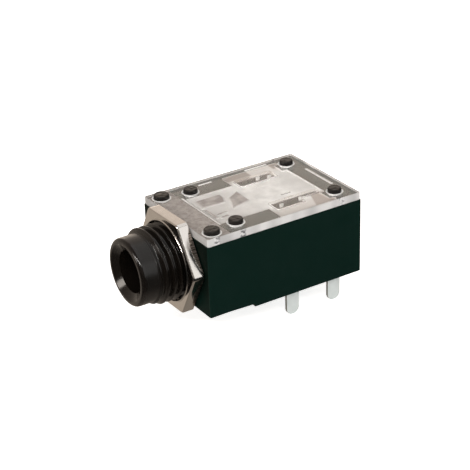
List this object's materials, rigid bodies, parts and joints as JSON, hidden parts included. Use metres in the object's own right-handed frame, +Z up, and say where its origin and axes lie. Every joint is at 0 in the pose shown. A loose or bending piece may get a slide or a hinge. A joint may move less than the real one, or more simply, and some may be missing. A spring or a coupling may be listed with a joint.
{
  "type": "audio jack socket",
  "caption": "Closed box jack socket for a 6.35 mm plug, with a clear lid, a threaded nose with its hexagon nut, and flat board pins.",
  "frame": {"origin": "on the plug axis, at the front face of the box that a panel rests against", "axes": "+X along the plug as it goes in, from the nose to the rear wall; +Z up, away from the board; -Y is the side the picture shows"},
  "size_m": [0.035, 0.018, 0.018],
  "materials": {
    "housing_plastic": "moulded, slightly glossy",
    "clear_plastic": "clear, polished, with a frosted land underneath",
    "nickel_plate": "nickel plated, bright",
    "tinned_strip": "tin plated strip, satin"
  },
  "bodies": {
    "box": {"housing": "housing_plastic", "lid": "clear_plastic", "ring_switch": "tinned_strip", "tip_switch": "tinned_strip"},
    "nut": {"nut": "nickel_plate"},
    "ring_spring": {"ring_spring": "tinned_strip"},
    "tip_spring": {"tip_spring": "tinned_strip"},
    "sleeve_contact": {"sleeve_contact": "tinned_strip"}
  },
  "joints": [
    {"name": "nut_travel", "type": "slide", "parent": "box", "child": "nut", "axis": [-1, 0, 0], "range_m": [0, 0.0085]},
    {"name": "ring_flex", "type": "hinge", "parent": "box", "child": "ring_spring", "pos_m": [0.02245, -0.0076, 0], "axis": [0, 0, 1], "range_deg": [0, 3.4], "stiffness_Nm_per_rad": 0.15},
    {"name": "tip_flex", "type": "hinge", "parent": "box", "child": "tip_spring", "pos_m": [0.02245, 0.0076, 0], "axis": [0, 0, -1], "range_deg": [0, 8.5], "stiffness_Nm_per_rad": 0.06},
    {"name": "sleeve_flex", "type": "hinge", "parent": "box", "child": "sleeve_contact", "pos_m": [0.0112, 0.0043, 0], "axis": [0, 0, -1], "range_deg": [0, 3.2], "stiffness_Nm_per_rad": 0.15}
  ]
}
